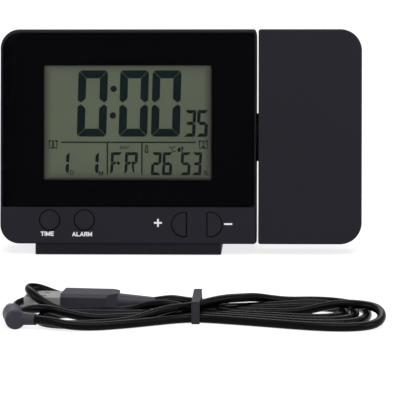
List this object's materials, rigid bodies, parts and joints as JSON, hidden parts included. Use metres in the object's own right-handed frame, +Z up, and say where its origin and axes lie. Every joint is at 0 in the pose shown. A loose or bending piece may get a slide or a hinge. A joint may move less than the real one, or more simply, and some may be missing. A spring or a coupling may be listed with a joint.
{
  "type": "projection alarm clock",
  "caption": "Desk alarm clock with a wide display, front buttons and a projector arm that turns on a side hinge, with its power lead in a tied hank.",
  "frame": {"origin": "middle of the underside of the clock's own box, without the lead, on the table", "axes": "+Z up, +X along the width towards the projector arm as the front is looked at, -Y the way the display faces"},
  "size_m": [0.157, 0.1882, 0.0925],
  "materials": {
    "casing": "fine satin moulded black ABS",
    "foot": "satin moulded black ABS",
    "window": "polished clear acrylic",
    "mask": "black print",
    "lcd": "grey green reflective display",
    "light_guide": "white light guide",
    "frame_plastic": "plain white moulding",
    "rubber": "soft black rubber",
    "board": "green glass epoxy board",
    "component": "moulded components",
    "screw": "zinc plated steel",
    "contact": "nickel plated spring brass",
    "cell": "plain printed sleeve",
    "ring": "knurled black moulding",
    "lens": "polished clear lens",
    "led": "clear epoxy",
    "wire": "insulated wire",
    "cord": "smooth black jacket",
    "plug_metal": "nickel plated steel",
    "plug_insert": "white insulator"
  },
  "bodies": {
    "clock": {"backlight": "light_guide", "base_foot": "foot", "battery_cells": "cell", "battery_contacts": "contact", "board_parts": "component", "board_screws": "screw", "buzzer": "component", "case_screws": "screw", "climate_sensor": "frame_plastic", "dc_jack": "component", "dc_plug_barrel": "plug_metal", "dc_plug_grip": "cord", "display_window": "window", "foot_screws": "screw", "friction_washer": "screw", "front_casing": "casing", "hinge_bush": "foot", "lcd_frame": "frame_plastic", "lcd_glass": "lcd", "lead_hank": "cord", "main_board": "board", "rear_casing": "casing", "rubber_feet": "rubber", "tact_switches": "component", "twist_tie": "cord", "usb_plug_grip": "cord", "usb_plug_shell": "plug_metal", "usb_plug_tongue": "plug_insert", "window_mask": "mask", "zebra_strips": "rubber"},
    "arm": {"arm_front_shell": "casing", "arm_rear_shell": "casing", "arm_screws": "screw", "hinge_shaft": "foot", "retaining_ring": "screw", "hinge_wires": "wire", "projector_board": "board", "projector_led": "led", "condenser_lens": "lens", "image_cell": "lcd", "projector_housing": "mask", "flip_switch": "component"},
    "focus": {"focus_ring": "ring"},
    "lens_cell": {"lens_holder": "ring", "projection_lens": "lens"},
    "flip_key": {"flip_button": "casing"},
    "time_key": {"time_button": "casing"},
    "alarm_key": {"alarm_button": "casing"},
    "plus_key": {"plus_button": "casing"},
    "minus_key": {"minus_button": "casing"},
    "snooze_key": {"snooze_bar": "casing"},
    "cell_door": {"battery_door": "casing"}
  },
  "joints": [
    {"name": "arm_tilt", "type": "hinge", "parent": "clock", "child": "arm", "pos_m": [0.0322, -0.00488, 0.04702], "axis": [1, 0, 0], "range_deg": [0, 180]},
    {"name": "focus_turn", "type": "hinge", "parent": "arm", "child": "focus", "pos_m": [0.0536, 0.00835, 0.06449], "axis": [0, 0.9848, -0.1736], "range_deg": [0, 120]},
    {"name": "lens_travel", "type": "slide", "parent": "arm", "child": "lens_cell", "axis": [0, 0.9848, -0.1736], "range_m": [0, 0.0012]},
    {"name": "flip_press", "type": "slide", "parent": "arm", "child": "flip_key", "axis": [0, -0.9848, 0.1736], "range_m": [0, 0.0005], "stiffness_N_per_m": 400},
    {"name": "time_press", "type": "slide", "parent": "clock", "child": "time_key", "axis": [0, 0.9848, -0.1736], "range_m": [0, 0.0005], "stiffness_N_per_m": 400},
    {"name": "alarm_press", "type": "slide", "parent": "clock", "child": "alarm_key", "axis": [0, 0.9848, -0.1736], "range_m": [0, 0.0005], "stiffness_N_per_m": 400},
    {"name": "plus_press", "type": "slide", "parent": "clock", "child": "plus_key", "axis": [0, 0.9848, -0.1736], "range_m": [0, 0.0005], "stiffness_N_per_m": 400},
    {"name": "minus_press", "type": "slide", "parent": "clock", "child": "minus_key", "axis": [0, 0.9848, -0.1736], "range_m": [0, 0.0005], "stiffness_N_per_m": 400},
    {"name": "snooze_press", "type": "slide", "parent": "clock", "child": "snooze_key", "axis": [0, -0.1736, -0.9848], "range_m": [0, 0.0008], "stiffness_N_per_m": 400},
    {"name": "battery_door_swing", "type": "hinge", "parent": "clock", "child": "cell_door", "pos_m": [-0.03795, 0.01069, 0.03163], "axis": [-1, 0, 0], "range_deg": [0, 70]}
  ],
  "couplings": [
    {"joint": "focus_turn", "follows": "lens_travel", "rad_per_m": 1745.3}
  ]
}
